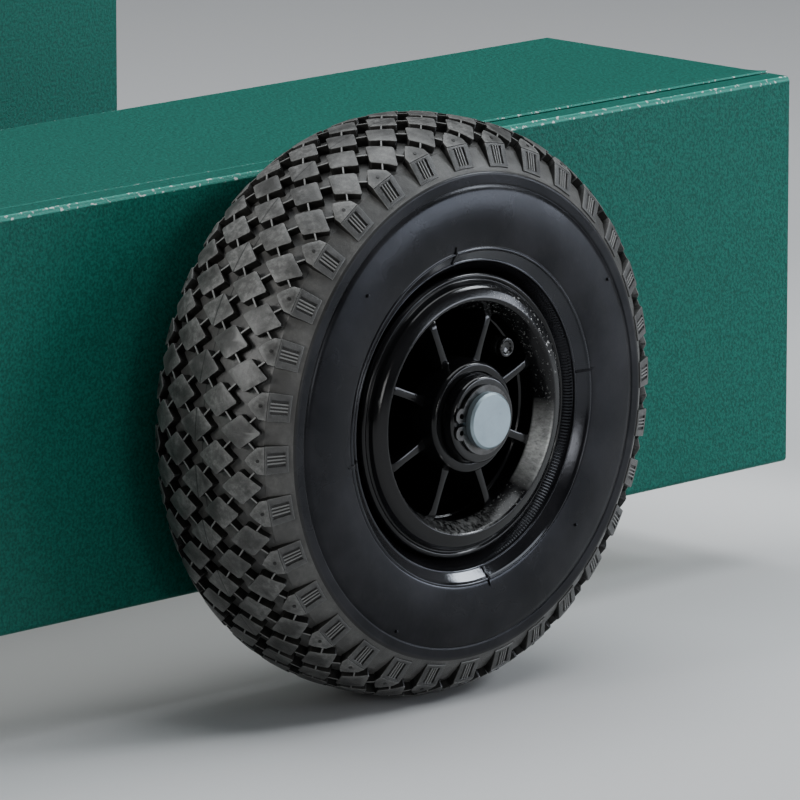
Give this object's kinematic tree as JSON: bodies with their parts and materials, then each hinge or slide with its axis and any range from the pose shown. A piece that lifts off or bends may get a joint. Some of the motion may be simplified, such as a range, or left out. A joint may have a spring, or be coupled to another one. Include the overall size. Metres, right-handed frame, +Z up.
{
  "type": "game cart",
  "caption": "Two-wheeled game cart with deep sheet-steel side boxes, a low slotted bed, a folding pull handle, a flip-up stand and a loading roller.",
  "frame": {"origin": "on the floor, under the middle of the whole cart's box", "axes": "+X along the cart towards its tail (the loading end; the handle is at -X), +Y to the left seen from the handle's end, +Z up"},
  "size_m": [1.6846, 0.831, 0.7739],
  "materials": {
    "green_paint": "hammered powder coat, semi-gloss",
    "black_paint": "satin powder coat",
    "zinc_steel": "zinc plated",
    "black_steel": "phosphated spring steel",
    "tyre_rubber": "moulded rubber, light bloom",
    "rim_plastic": "glossy black, scuffed",
    "bush_plastic": "moulded",
    "soft_rubber": "matt",
    "grip_rubber": "ribbed",
    "valve_brass": "plated",
    "cap_plastic": "glossy black"
  },
  "bodies": {
    "cart_frame": {"left_side_panel": "green_paint", "right_side_panel": "green_paint", "left_top_panel": "green_paint", "right_top_panel": "green_paint", "left_axle_tube": "green_paint", "right_axle_tube": "green_paint", "left_stub_axle": "zinc_steel", "right_stub_axle": "zinc_steel", "axle_doublers": "green_paint", "axle_collars": "zinc_steel", "thrust_washers": "zinc_steel", "axle_circlips": "black_steel", "seam_strips": "green_paint", "seam_welds": "green_paint", "nose_end_caps": "green_paint", "tail_end_caps": "green_paint", "nose_panel": "green_paint", "bed_cross_tubes": "green_paint", "bed_tray": "green_paint", "bed_bolts": "zinc_steel", "bed_nuts": "zinc_steel", "lashing_lugs": "green_paint", "handle_brackets": "green_paint", "handle_stops": "green_paint", "handle_pivot_bolts": "zinc_steel", "handle_pivot_nuts": "zinc_steel", "handle_rests": "soft_rubber", "stand_brackets": "green_paint", "stand_pivot_bolts": "zinc_steel", "stand_pivot_nuts": "zinc_steel", "stand_buffers": "soft_rubber", "roller_pin": "zinc_steel", "roller_spacers": "zinc_steel"},
    "left_wheel": {"left_tyre": "tyre_rubber", "left_inner_tube": "soft_rubber", "left_rim": "rim_plastic", "left_wheel_bushes": "bush_plastic", "left_valve_stem": "valve_brass", "left_valve_cap": "cap_plastic"},
    "right_wheel": {"right_tyre": "tyre_rubber", "right_inner_tube": "soft_rubber", "right_rim": "rim_plastic", "right_wheel_bushes": "bush_plastic", "right_valve_stem": "valve_brass", "right_valve_cap": "cap_plastic"},
    "handle": {"handle_tube": "black_paint", "handle_crossbar": "black_paint", "handle_grip": "grip_rubber"},
    "stand": {"stand_tube": "black_paint", "stand_feet": "soft_rubber"},
    "roller": {"loading_roller": "soft_rubber", "roller_bushes": "bush_plastic"}
  },
  "joints": [
    {"name": "left_wheel_spin", "type": "hinge", "parent": "cart_frame", "child": "left_wheel", "pos_m": [0.53226, 0.362, 0.13], "axis": [0, 1, 0], "continuous": true},
    {"name": "right_wheel_spin", "type": "hinge", "parent": "cart_frame", "child": "right_wheel", "pos_m": [0.53226, -0.362, 0.13], "axis": [0, 1, 0], "continuous": true},
    {"name": "handle_fold", "type": "hinge", "parent": "cart_frame", "child": "handle", "pos_m": [-0.22774, 0, 0.2555], "axis": [0, 1, 0], "range_deg": [0, 140]},
    {"name": "stand_fold", "type": "hinge", "parent": "cart_frame", "child": "stand", "pos_m": [-0.29374, 0, 0.12], "axis": [0, 1, 0], "range_deg": [0, 169]},
    {"name": "roller_spin", "type": "hinge", "parent": "cart_frame", "child": "roller", "pos_m": [0.81426, 0, 0.068], "axis": [0, 1, 0], "continuous": true}
  ]
}
